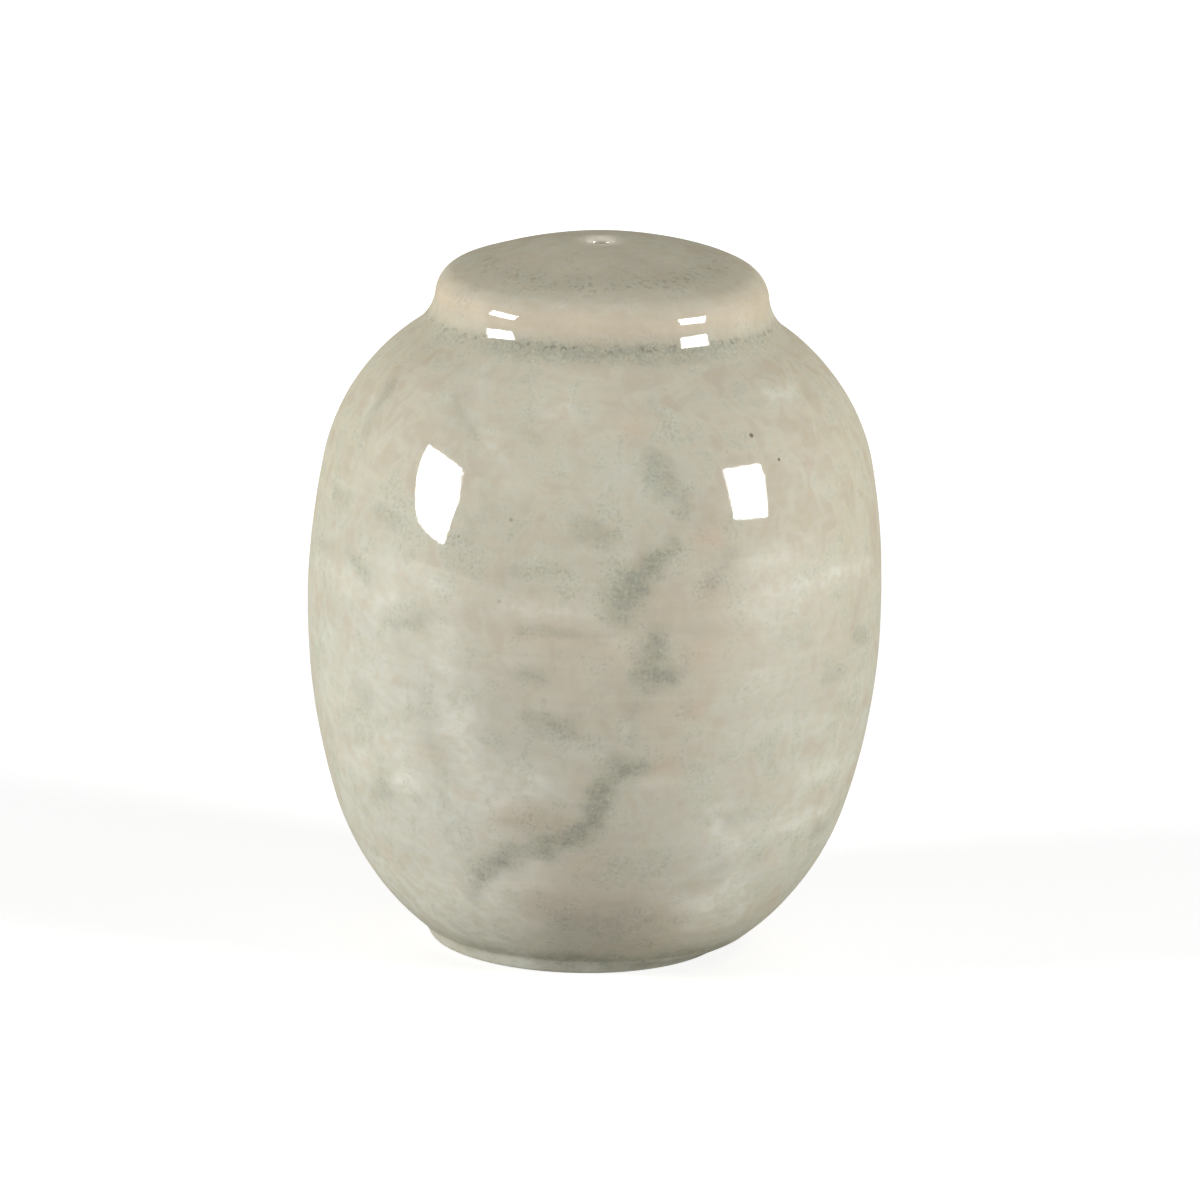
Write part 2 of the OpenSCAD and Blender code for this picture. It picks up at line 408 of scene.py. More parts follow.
def colour(name, default, description):
    """A linear colour property."""
    return bpy.props.FloatVectorProperty(
        name=name, default=default, description=description, subtype="COLOR", size=3,
        min=0.0, max=1.0)


def number(name, default, description):
    """A plain number property."""
    return bpy.props.FloatProperty(name=name, default=default, description=description, min=0.0)


class ShakerBodySizes(bpy.types.PropertyGroup):
    """Sizes of the stoneware body."""

    height: length("Height", BODY_HIGH.z, "From the table to the lip of the pour hole")
    belly_r: length("Belly radius", BODY_HIGH.x, "Radius at the widest part")
    belly_h: length("Belly height", 36.3 * MM, "Height of the widest part")
    upper_flank_r: length("Upper flank radius", 83 * MM, "Radius of the arc above the belly")
    shoulder_r: length("Shoulder radius", 21.7 * MM, "Radius of the shoulder's arc")
    shoulder_drop: length("Shoulder drop", 28 * MM, "From the top down to the shoulder's centre")
    lower_flank_r: length("Lower flank radius", 71.5 * MM, "Radius of the arc below the belly")
    foot_cut: length("Foot cut", 4.5 * MM, "From the table down to the egg's lower tip")
    wall: length("Wall", 3.6 * MM, "Thickness of the cast wall")
    cap_r: length("Cap radius", 17.4 * MM, "Radius of the cap")
    cap_rise: length("Cap rise", 6.4 * MM, "Height of the cap above its widest part")
    cap_edge_r: length("Cap edge radius", 3.4 * MM, "Radius of the cap's rounded edge")
    neck_r: length("Neck radius", 6 * MM, "Radius of the hollow under the cap")
    ceiling_corner_r: length("Ceiling corner", 1.5 * MM, "Radius of the corner inside the cap")
    pour_r: length("Pour hole radius", POUR_HOLE["dims"]["r_mm"] * MM, "Radius of the pour hole")
    pour_lip_r: length("Pour lip radius", 0.8 * MM, "Radius of the hole's outer lip")
    pour_inner_r: length("Pour inner radius", 0.4 * MM, "Radius of the hole's inner edge")
    foot_r: length("Foot radius", 16.1 * MM, "Radius of the foot on the table")
    foot_h: length("Foot height", 1.5 * MM, "Height of the foot's slanted side")
    foot_edge_r: length("Foot edge radius", 0.4 * MM, "Radius of the foot's edges")
    foot_shift: length("Foot shift", 1 * MM, "How far the hand-cut edge lies left of the axis")
    foot_trim: length("Foot trim", 0.7 * MM, "How much narrower the hand-cut edge is at the sides")
    crease_rise: length("Crease rise", 0.1 * MM, "How much higher the crease is front and back")
    dome_sink: length("Dome sink", 0.22 * MM, "How far the cap's middle sank before firing")
    dome_tilt: angle("Dome tilt", 0.8, "How far the cap's top leans to the left")
    pour_shift: length("Pour shift", 0.3 * MM, "How far the pierced hole lies left of the axis")
    recess_r: length("Recess radius", 12.7 * MM, "Radius of the recessed underside")
    recess_corner_r: length("Recess corner", 1 * MM, "Radius of the corner inside the recess")
    base_t: length("Base thickness", 4 * MM, "Thickness of the base")
    floor_corner_r: length("Floor corner", 3 * MM, "Radius at the edge of the chamber's floor")
    fill_r: length("Filling hole radius", 8 * MM, "Radius of the filling hole")
    fill_edge_r: length("Filling hole edge", 0.6 * MM, "Radius of the filling hole's edges")


class ShakerStopperSizes(bpy.types.PropertyGroup):
    """Sizes of the silicone stopper."""

    flange_r: length("Flange radius", STOPPER_HIGH.y, "Radius of the flange")
    flange_t: length("Flange thickness", 1.6 * MM, "Thickness of the flange")
    flange_edge_r: length("Flange edge", 0.6 * MM, "Radius of the flange's rim")
    plug_r: length("Plug radius", 7.45 * MM, "Radius of the plug between its ribs")
    plug_wall: length("Plug wall", 1.7 * MM, "Thickness of the hollow plug")
    rib_h: length("Rib height", 0.5 * MM, "How far a sealing rib stands out of the plug")
    rib_count: bpy.props.IntProperty(
        name="Ribs", default=2, min=1, description="Number of sealing ribs")
    tab_w: length("Tab width", 7 * MM, "Width of the lifting tab")


class ShakerColours(bpy.types.PropertyGroup):
    """Colours of the glaze, the clay and the silicone."""

    beige: colour("Beige", (0.552, 0.503, 0.386), "The glaze where it is even")
    grey: colour("Grey", (0.476, 0.455, 0.352), "The glaze where it is a little thicker")
    moss: colour("Moss", (0.452, 0.456, 0.36), "The greenish patches")
    vein: colour("Vein", (0.31, 0.308, 0.23), "The blue-grey veins")
    celadon: colour("Celadon", (0.538, 0.535, 0.45), "The pale green-grey glaze")
    blush: colour("Blush", (0.535, 0.44, 0.325), "The pinkish spots, where iron shows")
    veil: colour("Veil", (0.67, 0.66, 0.555), "The milky streaks")
    # Pool: glaze that gathers, and painted shade under the cap's edge, in the foot's crease and on
    # the low belly
    pool: colour("Pool", (0.333, 0.327, 0.248), "The glaze where it gathers")
    cream: colour("Cream", (0.556, 0.48, 0.36), "The glaze where it runs thin over an edge")
    # Dome: partly painted shade, for the weaker light on the flat top
    dome: colour("Dome", (0.48, 0.443, 0.343), "The glaze on the flat top of the cap")
    clay: colour("Clay", (0.62, 0.55, 0.44), "The fired clay without glaze")
    bead: colour("Bead", (0.15, 0.15, 0.105), "The dark green beads in the gathered glaze")
    speck: colour("Speck", (0.10, 0.075, 0.05), "Iron specks")
    silicone: colour("Silicone", (0.74, 0.72, 0.65), "The stopper")


class ShakerStage(bpy.types.PropertyGroup):
    """The camera, the lamps and the floor."""

    distance: length("Distance", 1.4, "From the camera to the shaker's middle")
    elevation: angle("Elevation", 14.577, "How far the camera looks down")
    roll: angle("Roll", 1.445, "How far the camera leans")
    focal_mm: number("Focal length", 401.2, "In mm, on a sensor 36 mm wide")
    aim_right: length("Aim right", 0.521 * MM, "How far the aim lies right of the shaker's middle")
    aim_down: length("Aim down", 1.41 * MM, "How far the aim lies below the shaker's middle")
    lamp_distance: length("Lamp distance", 0.8, "From a softbox to the shaker's middle")
    lamp_power: number("Lamp power", 5.17, "Watts in a softbox with a share of 1")
    ambient: number("Ambient", 0.2, "Level of the light from all around")
    floor_glow: number("Floor glow", 0.66, "The floor's own brightness near the shaker")
    floor_bounce: number("Floor bounce", 0.6, "Share of the light that the floor throws back")


# Formulas for sections

def bearing(start, end):
    """Direction from one point of a section to another, in radians."""
    return math.atan2(end[1] - start[1], end[0] - start[0])


def tip_radius(half_width, half_height, flank_r):
    """Tip radius of a two-arc oval: (a squared + b squared - 2 a R) over 2 (b - R).

    a and b are its half width and half height, and R is its flank's radius.
    """
    top = half_width ** 2 + half_height ** 2 - 2 * half_width * flank_r
    return top / (2 * (half_height - flank_r))


def leg(hypotenuse, other_leg):
    """The other leg of a right triangle."""
    return math.sqrt(hypotenuse ** 2 - other_leg ** 2)


def right_crossing(c1, r1, c2, r2):
    """Where two circles meet, to the right of the way from the first centre to the second."""
    gap = math.dist(c1, c2)
    along = (gap ** 2 + r1 ** 2 - r2 ** 2) / (2 * gap)
    aside = leg(r1, along)
    ahead_r, ahead_z = (c2[0] - c1[0]) / gap, (c2[1] - c1[1]) / gap
    return (c1[0] + along * ahead_r + aside * ahead_z, c1[1] + along * ahead_z - aside * ahead_r)


def arc(centre, radius, start, stop, step):
    """Arc: the centre plus the radius times the cosine and sine of evenly spaced angles."""
    count = max(3, math.ceil(abs(stop - start) * radius / step) + 1)
    turn = np.linspace(start, stop, count)
    return np.column_stack([centre[0] + radius * np.cos(turn), centre[1] + radius * np.sin(turn)])


def straight(start, end, step):
    """Points evenly spaced on a straight line, with its two ends."""
    count = max(2, math.ceil(math.dist(start, end) / step) + 1)
    share = np.linspace(0, 1, count)[:, None]
    return np.asarray(start) * (1 - share) + np.asarray(end) * share


def join_stretches(stretches):
    """One chain from named stretches, without the points that repeat the one before them."""
    points = np.concatenate([part for _, part in stretches])
    names = np.concatenate([[name] * len(part) for name, part in stretches])
    apart = np.linalg.norm(points - np.roll(points, 1, axis=0), axis=1)
    keep = apart > SAME_POINT
    return points[keep], names[keep]


def wall_circles(s):
    """Centres of the wall's arcs, and the radii that follow from the sizes.

    Above the belly a flank arc runs into a shoulder arc that touches it from inside. Below it a
    flank arc runs into the heel, the tip arc of a two-arc oval. The cap is a dome arc and an edge
    arc, and the neck is the circle that touches the edge arc and the shoulder arc from outside.
    """
    lower_h = s.belly_h + s.foot_cut
    heel_r = tip_radius(s.belly_r, lower_h, s.lower_flank_r)
    heel_c = (0, s.belly_h - lower_h + heel_r)
    upper_flank_c = (s.belly_r - s.upper_flank_r, s.belly_h)
    lower_flank_c = (s.belly_r - s.lower_flank_r, s.belly_h)
    shoulder_z = s.height - s.shoulder_drop
    shoulder_x = upper_flank_c[0] + leg(s.upper_flank_r - s.shoulder_r, shoulder_z - s.belly_h)
    shoulder_c = (shoulder_x, shoulder_z)
    lip_c = (s.pour_r + s.pour_lip_r, s.height - s.pour_lip_r)
    dome_r = tip_radius(s.cap_r, s.cap_rise, s.cap_edge_r)
    dome_c = (0, lip_c[1] - leg(dome_r - s.pour_lip_r, lip_c[0]))
    edge_c = (s.cap_r - s.cap_edge_r, dome_c[1] + dome_r - s.cap_rise)
    neck_c = right_crossing(shoulder_c, s.shoulder_r + s.neck_r, edge_c, s.cap_edge_r + s.neck_r)
    return SimpleNamespace(
        heel_c=heel_c, heel_r=heel_r, upper_flank_c=upper_flank_c, lower_flank_c=lower_flank_c,
        shoulder_c=shoulder_c, neck_c=neck_c, edge_c=edge_c, dome_c=dome_c, dome_r=dome_r,
        lip_c=lip_c)


def wall_line(s, c, inset, corner_c, corner_r, first_turn, last_turn, step):
    """The wall's arcs from dome to heel, moved inwards by inset, with a corner at the cap."""
    dome_end = bearing(c.dome_c, corner_c)
    corner_end = bearing(corner_c, c.neck_c)
    shoulder_turn = bearing(c.shoulder_c, c.neck_c)
    neck_turns = (math.pi + corner_end, math.pi + shoulder_turn)
    upper_turn = bearing(c.upper_flank_c, c.shoulder_c)
    lower_turn = bearing(c.lower_flank_c, c.heel_c)
    tight = TIGHT_SHARE * step
    return [
        ("dome", arc(c.dome_c, c.dome_r - inset, first_turn, dome_end, step)),
        ("cap_edge", arc(corner_c, corner_r, dome_end, corner_end, tight)),
        ("neck", arc(c.neck_c, s.neck_r + inset, *neck_turns, tight)),
        ("shoulder", arc(c.shoulder_c, s.shoulder_r - inset, shoulder_turn, upper_turn, step)),
        ("flank", arc(c.upper_flank_c, s.upper_flank_r - inset, upper_turn, 0, step)),
        ("flank", arc(c.lower_flank_c, s.lower_flank_r - inset, 0, lower_turn, step)),
        ("heel", arc(c.heel_c, c.heel_r - inset, lower_turn, last_turn, step)),
    ]


def base_line(s, foot_top, recess_h, floor_z):
    """The base from the foot's slanted side to the filling hole's upper edge: arcs and straights.

    The foot's edge is an arc between its slanted side and the table, so its centre lies inwards of
    the corner by the arc's radius times the tangent of half the slant.
    """
    foot_lean = bearing((s.foot_r, 0), foot_top)
    foot_edge_c = (s.foot_r - s.foot_edge_r * math.tan(foot_lean / 2), s.foot_edge_r)
    foot_side = arc(foot_edge_c, s.foot_edge_r, foot_lean - QUARTER, -QUARTER, FINE_STEP)
    foot_inner_c = (s.recess_r + s.foot_edge_r, s.foot_edge_r)
    foot_inner = arc(foot_inner_c, s.foot_edge_r, -QUARTER, -math.pi, FINE_STEP)
    recess_corner_c = (s.recess_r - s.recess_corner_r, recess_h - s.recess_corner_r)
    recess_corner = arc(recess_corner_c, s.recess_corner_r, 0, QUARTER, CORNER_STEP)
    fill_x = s.fill_r + s.fill_edge_r
    fill_low_c = (fill_x, recess_h + s.fill_edge_r)
    fill_high_c = (fill_x, floor_z - s.fill_edge_r)
    fill_edge = arc(fill_low_c, s.fill_edge_r, -QUARTER, -math.pi, FINE_STEP)
    return [
        ("foot", straight(foot_top, foot_side[0], FINE_STEP)),
        ("foot", foot_side),
        ("ring", straight(foot_side[-1], foot_inner[0], WALL_STEP)),
        ("recess", foot_inner),
        ("recess", straight(foot_inner[-1], recess_corner[0], WALL_STEP)),
        ("recess", recess_corner),
        ("recess", straight(recess_corner[-1], fill_edge[0], WALL_STEP)),
        ("recess", fill_edge),
        ("inside", arc(fill_high_c, s.fill_edge_r, math.pi, QUARTER, FINE_STEP)),
    ]


def body_section(s, recess_h):
    """Closed section of the body as rows of (radius, height), and the name of each row's stretch.

    It runs down the outside, round the base, up the chamber and out of the pour hole. The chamber
    is the outside's chain moved inwards by the wall, with corners of its own under the cap and at
    the floor.
    """
    c = wall_circles(s)
    foot_top = (leg(c.heel_r, s.foot_h - c.heel_c[1]), s.foot_h)
    foot_turn = bearing(c.heel_c, foot_top)
    lip_turn = bearing(c.dome_c, c.lip_c)
    outside = wall_line(s, c, 0, c.edge_c, s.cap_edge_r, lip_turn, foot_turn, WALL_STEP)

    floor_z = recess_h + s.base_t
    floor_corner_z = floor_z + s.floor_corner_r
    floor_corner_x = leg(c.heel_r - s.wall - s.floor_corner_r, floor_corner_z - c.heel_c[1])
    floor_corner_c = (floor_corner_x, floor_corner_z)
    floor_turn = bearing(c.heel_c, floor_corner_c)
    floor_corner = arc(floor_corner_c, s.floor_corner_r, -QUARTER, floor_turn, WALL_STEP)

    ceiling_c = right_crossing(c.neck_c, s.neck_r + s.wall + s.ceiling_corner_r,
                               c.dome_c, c.dome_r - s.wall - s.ceiling_corner_r)
    inner_lip_x = s.pour_r + s.pour_inner_r
    inner_lip_c = (inner_lip_x, c.dome_c[1] + leg(c.dome_r - s.wall + s.pour_inner_r, inner_lip_x))
    inner_turn = bearing(c.dome_c, inner_lip_c)
    chamber = wall_line(
        s, c, s.wall, ceiling_c, s.ceiling_corner_r, inner_turn, floor_turn, INSIDE_STEP)
    inner_lip = arc(inner_lip_c, s.pour_inner_r, math.pi + inner_turn, math.pi, FINE_STEP)
    lip = arc(c.lip_c, s.pour_lip_r, math.pi, lip_turn, LIP_STEP)
    return join_stretches([
        *outside,
        *base_line(s, foot_top, recess_h, floor_z),
        ("inside", floor_corner),
        *(("inside", part[::-1]) for _, part in reversed(chamber)),
        ("pour", inner_lip),
        ("pour", straight(inner_lip[-1], lip[0], CORNER_STEP)),
        ("lip", lip),
    ])


def stopper_section(s, low_z, top_z, base_t):
    """Open section of the stopper, from the axis below to the axis in its plug, and stretch names.

    The flange's rim and the hollow's corner are quarter circles, and the plug's end is a half one.
    So is each sealing rib on the plug's side, evenly spaced over the base's thickness.
    """
    seat_z = low_z + s.flange_t
    lead = s.plug_wall / 2
    bore_r = s.plug_r - s.plug_wall
    rim_c = (s.flange_r - s.flange_edge_r, low_z + s.flange_edge_r)
    rim = arc(rim_c, s.flange_edge_r, -QUARTER, 0, FINE_STEP)
    tab_low = (s.flange_r, low_z + s.flange_edge_r + TAB_INSET)
    tab_high = (s.flange_r, seat_z - TAB_INSET)
    rib_z = [seat_z + base_t * (i + 1) / (s.rib_count + 1) for i in range(s.rib_count)]
    plug_end = arc((s.plug_r - lead, top_z - lead), lead, 0, math.pi, FINE_STEP)
    hollow = arc((bore_r - lead, seat_z + lead), lead, 0, -QUARTER, CORNER_STEP)
    return join_stretches([
        ("flange", straight((0, low_z), rim[0], FLAT_STEP)),
        ("flange", rim),
        ("tab", straight(tab_low, tab_high, FINE_STEP)),
        ("flange", straight((s.flange_r, seat_z), (s.plug_r, seat_z), WALL_STEP)),
        *(("rib", arc((s.plug_r, z), s.rib_h, -QUARTER, QUARTER, LIP_STEP)) for z in rib_z),
        ("plug", plug_end),
        ("hollow", straight(plug_end[-1], hollow[0], WALL_STEP)),
        ("hollow", hollow),
        ("hollow", straight(hollow[-1], (0, seat_z), FLAT_STEP)),
    ])


# Formulas for surfaces

def smooth_step(low, high, value):
    """0 below low, 1 above high and 3 t squared - 2 t cubed between them."""
    t = np.clip((value - low) / (high - low), 0, 1)
    return t * t * (3 - 2 * t)


def band(value, middle, half):
    """A soft band of values: exp(-((value - middle) / half) squared)."""
    return np.exp(-((value - middle) / half) ** 2)


def towards_front(turn, behind, added, power):
    """A value that grows to the front: behind + added times ((1 + cos turn) / 2) to the power."""
    return behind + added * (0.5 + 0.5 * np.cos(turn)) ** power


def wrapped(turn):
    """The same angle, between minus and plus half a turn."""
    return (turn + math.pi) % FULL_TURN - math.pi


def even_turns(count):
    """Evenly spaced turns about the whole axis, as one row."""
    return np.linspace(0, FULL_TURN, count, endpoint=False)[None, :]


def outward_normals(points):
    """Unit normals of a closed section: its tangents, a quarter turn on.

    They point outwards if the section runs down its outer side.
    """
    tangent = np.roll(points, -1, axis=0) - np.roll(points, 1, axis=0)
    normal = np.column_stack([-tangent[:, 1], tangent[:, 0]])
    return normal / np.linalg.norm(normal, axis=1, keepdims=True)


def wave_sum(turn, height, waves):
    """Sum of waves, in mm: size times cos(waves round times turn + radians times mm + start)."""
    z = height / MM
    return sum(size * np.cos(around * turn + up * z + start) for size, around, up, start in waves)


def throwing_rings(turn, height):
    """Shallow rings of the shaping rib: a cosine of the height whose start drifts with the turn.

    A slower cosine lets them come and go.
    """
    z = height / MM
    drift = RING_DRIFT[0] * np.cos(turn) + RING_DRIFT[1] * np.sin(2 * turn)
    coming = 0.5 + 0.5 * np.cos(RING_COMING * z + turn)
    return RING_DEPTH * np.cos(FULL_TURN * z / RING_PITCH + drift) * coming


def dents(turn, height, radius):
    """Dents and swellings: each is its rise times exp(-((x/w) squared + (y/h) squared) / 2).

    x is the way round the wall from its middle, leaning with the height, and y the way up.
    """
    total = 0.0
    for rise, middle, z, half_wide, half_tall, lean in DENTS:
        up = height / MM - z
        along = wrapped(turn - math.radians(middle)) * radius / MM + lean * up
        away = (along / half_wide) ** 2 + (up / half_tall) ** 2
        total = total + rise * MM * np.exp(-0.5 * away)
    return total


def marks(turn, height, radius, strokes):
    """Soft strokes in one mask: 1 minus the product of 1 - strength times exp(-(d/w) squared).

    d is the way from a stroke's line on the unrolled wall, in mm, and w its half width. The line
    strays by sums of waves, and a fainter halo goes round it. The back of the wall repeats the
    strokes of the front, a little less than half a turn round.
    """
    stray_along = wave_sum(turn, height, STRAY_ALONG)
    stray_up = wave_sum(turn, height, STRAY_UP)
    round_mm = radius / MM
    left_over = 1.0
    for turn_1, z_1, turn_2, z_2, half, strength in strokes:
        reach = math.radians(turn_2 - turn_1) * round_mm
        rise = z_2 - z_1
        up = height / MM - z_1 + stray_up
        for facing in (turn, turn - BACK_TURN):
            along = wrapped(facing - math.radians(turn_1)) * round_mm + stray_along
            share = np.clip((along * reach + up * rise) / (reach ** 2 + rise ** 2), 0, 1)
            away = (along - share * reach) ** 2 + (up - share * rise) ** 2
            stroke = strength * np.exp(-away / half ** 2)
            halo = HALO_SHARE * strength * np.exp(-away / (HALO_WIDTH * half) ** 2)
            left_over = left_over * (1 - stroke) * (1 - halo)
    return 1 - left_over


def turned(radius, height, turn):
    """Points at a radius, height and turn: x is radius times sine, y minus radius times cosine."""
    grid = np.broadcast_arrays(radius * np.sin(turn), -radius * np.cos(turn), height)
    return np.stack(grid, axis=-1)


def rows_named(names, *stretches):
    """True in each row of a section that belongs to one of the stretches, as one column."""
    return np.isin(names, stretches)[:, None]


def trim_foot(s, vertices, names, radius, height, turn):
    """Cuts the foot by hand: its edge lies to the left and is narrower by the turn's sine squared.

    Both are greatest on the table and gone at the crease, which rises by the turn's cosine squared.
    """
    low = 1 - smooth_step(0, s.foot_h, height)
    wide = smooth_step(s.recess_r + 2 * s.foot_edge_r, s.foot_r, radius)
    edge = rows_named(names, "foot", "ring") * low * wide
    vertices[..., :2] *= 1 - (s.foot_trim / s.foot_r * edge * np.sin(turn) ** 2)[..., None]
    vertices[..., 0] -= s.foot_shift * edge
    above = 1 - smooth_step(s.foot_h, CREASE_REACH * s.foot_h, height)
    near_crease = np.where(height > s.foot_h, above, height / s.foot_h)
    on_wall = rows_named(names, "heel", "foot")
    vertices[..., 2] += s.crease_rise * on_wall * near_crease * np.cos(turn) ** 2


def settle_dome(s, vertices, radius, height):
    """Lets the cap's middle sink and lean, and moves the pour hole to the left.

    The lean is x times the tangent of the tilt. All three fade by a smooth step of the radius.
    """
    high = height > s.height - s.cap_rise - s.wall
    sunk = high * (1 - smooth_step(SINK_FROM * s.cap_r, s.cap_r, radius))
    leaning = high * (1 - smooth_step(LEAN_FROM * s.cap_r, s.cap_r, radius))
    shifted = high * (1 - smooth_step(2 * s.pour_r, SINK_FROM * s.cap_r, radius))
    vertices[..., 2] += math.tan(s.dome_tilt) * leaning * vertices[..., 0] - s.dome_sink * sunk
    vertices[..., 0] -= s.pour_shift * shifted


def body_surface(s, section, names, turn):
    """The section turned round the axis, with each point of the outside moved along its normal.

    It moves by the waves and rings, which fade out below the cap, and by the dents. All of these
    fade out towards the foot.
    """
    radius, height = section[:, :1], section[:, 1:]
    normals = outward_normals(section)
    uneven = MM * wave_sum(turn, height, HAND_WAVES) + throwing_rings(turn, height)
    uneven = uneven * (1 - smooth_step(*SHOULDER_FADE, height)) + dents(turn, height, radius)
    raised = rows_named(names, *OUTSIDE) * smooth_step(*FOOT_FADE, height) * uneven
    vertices = turned(radius + normals[:, :1] * raised, height + normals[:, 1:] * raised, turn)
    trim_foot(s, vertices, names, radius, height, turn)
    settle_dome(s, vertices, radius, height)
    return vertices


def stopper_rings(s, section, names, turn):
    """The section turned round the axis, without its two ends, with the tab drawn out of the rim.

    The tab's rows move outwards near the +X side, and a smooth step of the turn ends each side.
    """
    half_tab = s.tab_w / 2 / s.flange_r
    on_tab = 1 - smooth_step(half_tab - TAB_SIDE, half_tab, np.abs(turn - QUARTER))
    drawn = (STOPPER_HIGH.x - s.flange_r) * on_tab * rows_named(names, "tab")
    return turned(section[:, :1] + drawn, section[:, 1:], turn)[1:-1]


def glaze_masks(section, names, turn):
    """The glaze's masks by name: strokes, and bands along the groove, the cap and the foot."""
    radius, height = section[:, :1], section[:, 1:]
    outer = rows_named(names, *OUTSIDE)
    foot = rows_named(names, "foot")
    dome = rows_named(names, "dome")
    lip = rows_named(names, "lip") + dome * (1 - smooth_step(*LIP_FADE, radius))
    groove = towards_front(turn, *GROOVE_HEIGHT)
    even = np.ones_like(turn)

    def in_groove(above, half, growth):
        """A band that follows the groove."""
        return outer * towards_front(turn, *growth) * band(height / MM, groove + above, half)

    masks = {name: outer * marks(turn, height, radius, strokes) for name, strokes in MARKS.items()}
    milky = np.maximum(masks["veil"], EDGE_VEIL * band(masks["vein"], *EDGE_BAND))
    masks["veil"] = np.where(foot, FOOT_VEIL, milky) + LIP_VEIL * lip
    masks["celadon"] = np.where(foot, FOOT_CELADON, masks["celadon"])

    ring_r, ring_half, ring_growth = DOME_RING
    ring = dome * towards_front(turn, *ring_growth) * band(radius / MM, ring_r, ring_half)
    in_ring = towards_front(turn, *DOME_RING_GLAZE) * ring
    pools_and_shade = (outer | foot) * marks(turn, height, radius, POOLS_AND_SHADE)
    # Gathered glaze in the groove, the dome's ring and the low strokes, with painted shade under
    # the cap's edge and low on the wall
    gathered_and_shade = sum(in_groove(*layer) for layer in GROOVE_GLAZE_AND_SHADE) + in_ring + pools_and_shade
    masks["pool"] = np.clip(gathered_and_shade, 0, 1)
    masks["beads"] = in_groove(*GROOVE_BEADS) + DOME_RING_BEADS * ring
    masks["cream"] = np.clip(outer * band(height / MM, *RIM_BAND) + LIP_CREAM * lip, 0, 1) * even
    flat = smooth_step(*DOME_FADE, height + DOME_SLANT * np.sin(turn))
    # The flat top's darker tone: partly thicker glaze, partly painted shade
    masks["dome"] = outer * flat * towards_front(turn, *DOME_GROWTH) * (1 - lip)
    masks["clay"] = rows_named(names, *BARE_CLAY) * even
    return masks


def speck_places(section, names, vertices):
    """The vertex nearest to each speck, with the speck's half size in metres and its strength."""
    rows = np.flatnonzero(rows_named(names, *OUTSIDE))
    places = []
    for speck_turn, speck_z, half, strength in SPECKS:
        row = rows[np.argmin(np.abs(section[rows, 1] - speck_z * MM))]
        column = round(speck_turn / 360 * BODY_COLUMNS) % BODY_COLUMNS
        places.append((tuple(vertices[row, column]), half * MM, strength))
    return places


# Meshes

def grid_faces(rows, columns, closed_rows=False, flip=False):
    """Quads of a grid whose rows are rings, and whose last row joins its first one if asked."""
    row = np.arange(rows if closed_rows else rows - 1)[:, None]
    column = np.arange(columns)[None, :]
    next_row = (row + 1) % rows
    next_column = (column + 1) % columns
    corners = [row * columns + column, next_row * columns + column,
               next_row * columns + next_column, row * columns + next_column]
    quads = np.stack(np.broadcast_arrays(*corners), axis=-1).reshape(-1, 4)
    return (quads[:, ::-1] if flip else quads).tolist()


def pole_faces(first, columns, pole, flip=False):
    """Triangles from a ring of vertices, which starts at first, to the vertex at its pole."""
    column = np.arange(columns)
    ring = np.stack([first + column, first + (column + 1) % columns], axis=-1)
    ring = ring[:, ::-1] if flip else ring
    return np.column_stack([ring, np.full(columns, pole)]).tolist()


def mesh_object(name, vertices, faces, material):
    """A smooth-shaded mesh object at the origin, from an array of points and a list of faces."""
    mesh = bpy.data.meshes.new(name)
    mesh.from_pydata(vertices.reshape(-1, 3).tolist(), [], faces)
    mesh.polygons.foreach_set("use_smooth", np.ones(len(mesh.polygons), bool))
    mesh.materials.append(material)
    mesh.update()
    made = bpy.data.objects.new(name, mesh)
    bpy.context.scene.collection.objects.link(made)
    return made


def add_mask(piece, name, values):
    """Stores one number a vertex on the piece's mesh, for its material to read."""
    stored = piece.data.attributes.new(name, "FLOAT", "POINT")
    stored.data.foreach_set("value", np.ascontiguousarray(values, np.float32).ravel())


# Nodes

def node(tree, kind, inputs=None, **settings):
    """A new node with its settings, whose inputs take a socket's link or a plain value."""
    made = tree.nodes.new(kind)
    for name, value in settings.items():
        setattr(made, name, value)
    for name, value in (inputs or {}).items():
        if isinstance(value, bpy.types.NodeSocket):
            tree.links.new(value, made.inputs[name])
        else:
            made.inputs[name].default_value = value
    return made


def rgba(value):
    """A colour with full alpha."""
    return (*value, 1.0)


def new_material(name):
    """An empty node material, its tree and its output node."""
    material = bpy.data.materials.new(name)
    material.use_nodes = True
    tree = material.node_tree
    tree.nodes.clear()
    return material, tree, tree.nodes.new("ShaderNodeOutputMaterial")


def blend(tree, factor, low, high):
    """A colour between two, by a factor."""
    inputs = {MIX_FACTOR: factor, MIX_LOW: low, MIX_HIGH: high}
    return node(tree, "ShaderNodeMix", inputs, data_type="RGBA").outputs[MIX_RESULT]


def spread(tree, value, low, high, to_low=0.0, to_high=1.0):
    """A value drawn out smoothly from one range to another."""
    return node(tree, "ShaderNodeMapRange", {
        "Value": value, "From Min": low, "From Max": high, "To Min": to_low, "To Max": to_high,
    }, interpolation_type="SMOOTHSTEP").outputs["Result"]


def calc(tree, operation, first, second):
    """The result of one sum."""
    return node(tree, "ShaderNodeMath", {0: first, 1: second}, operation=operation).outputs[0]


def vector(tree, operation, inputs, output=0):
    """The result of one sum with vectors or colours."""
    return node(tree, "ShaderNodeVectorMath", inputs, operation=operation).outputs[output]


def mask(tree, name):
    """A mask that the mesh holds."""
    return node(tree, "ShaderNodeAttribute", attribute_name=name).outputs["Fac"]


